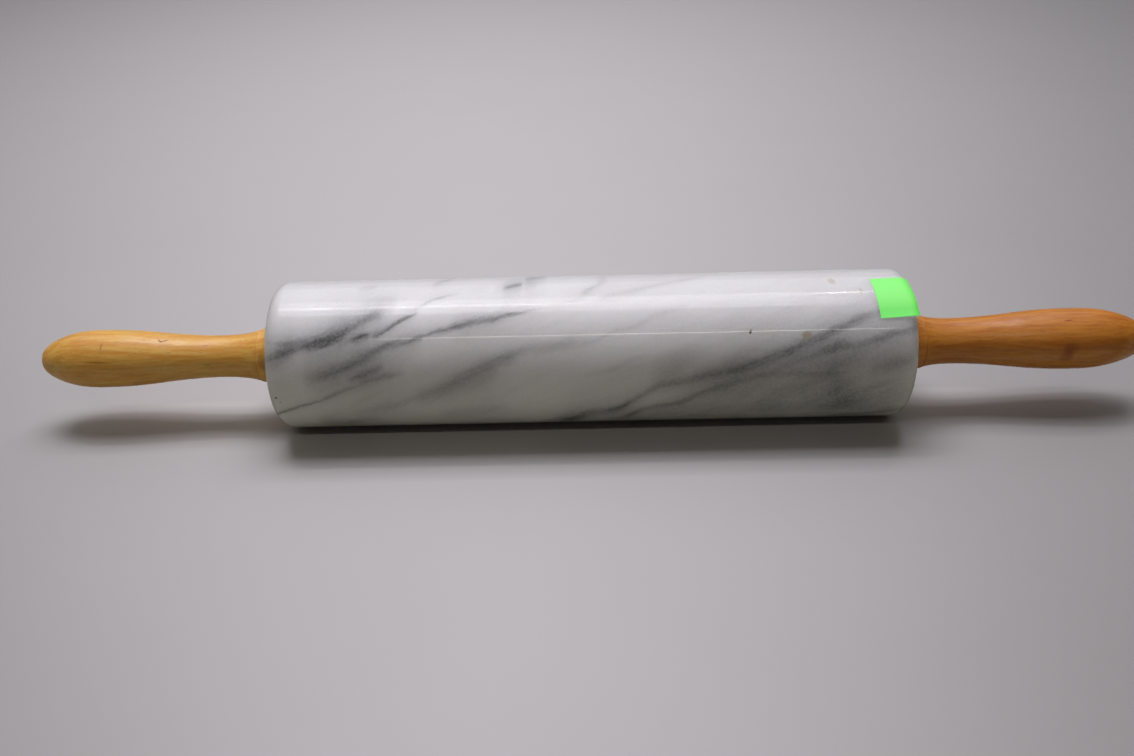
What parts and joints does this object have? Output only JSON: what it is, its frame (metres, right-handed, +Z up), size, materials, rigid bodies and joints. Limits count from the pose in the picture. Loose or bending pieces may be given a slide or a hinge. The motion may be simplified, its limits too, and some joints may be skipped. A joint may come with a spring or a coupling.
{
  "type": "marble rolling pin",
  "caption": "Marble rolling pin: a heavy round-rimmed stone barrel that turns on a steel axle between turned wooden handles.",
  "frame": {"origin": "on the worktop, under the middle of the barrel", "axes": "+X along the axle towards the right handle, the one beside the label; +Z up; the picture looks along +Y from above"},
  "size_m": [0.4518, 0.06, 0.0602],
  "materials": {
    "marble": "polished, grey veins",
    "green_paper": "matt fluorescent",
    "nylon": "satin",
    "steel": "bright",
    "brass": "turned",
    "light_wood": "clear lacquer",
    "amber_wood": "clear lacquer"
  },
  "bodies": {
    "grips": {"axle_rod": "steel", "left_washer": "steel", "right_washer": "steel", "left_insert": "brass", "right_insert": "brass", "left_handle": "light_wood", "right_handle": "amber_wood"},
    "roller": {"barrel": "marble", "left_bush": "nylon", "right_bush": "nylon", "price_label": "green_paper"}
  },
  "joints": [
    {"name": "barrel_spin", "type": "hinge", "parent": "grips", "child": "roller", "pos_m": [0, 0, 0.03], "axis": [1, 0, 0], "continuous": true}
  ]
}
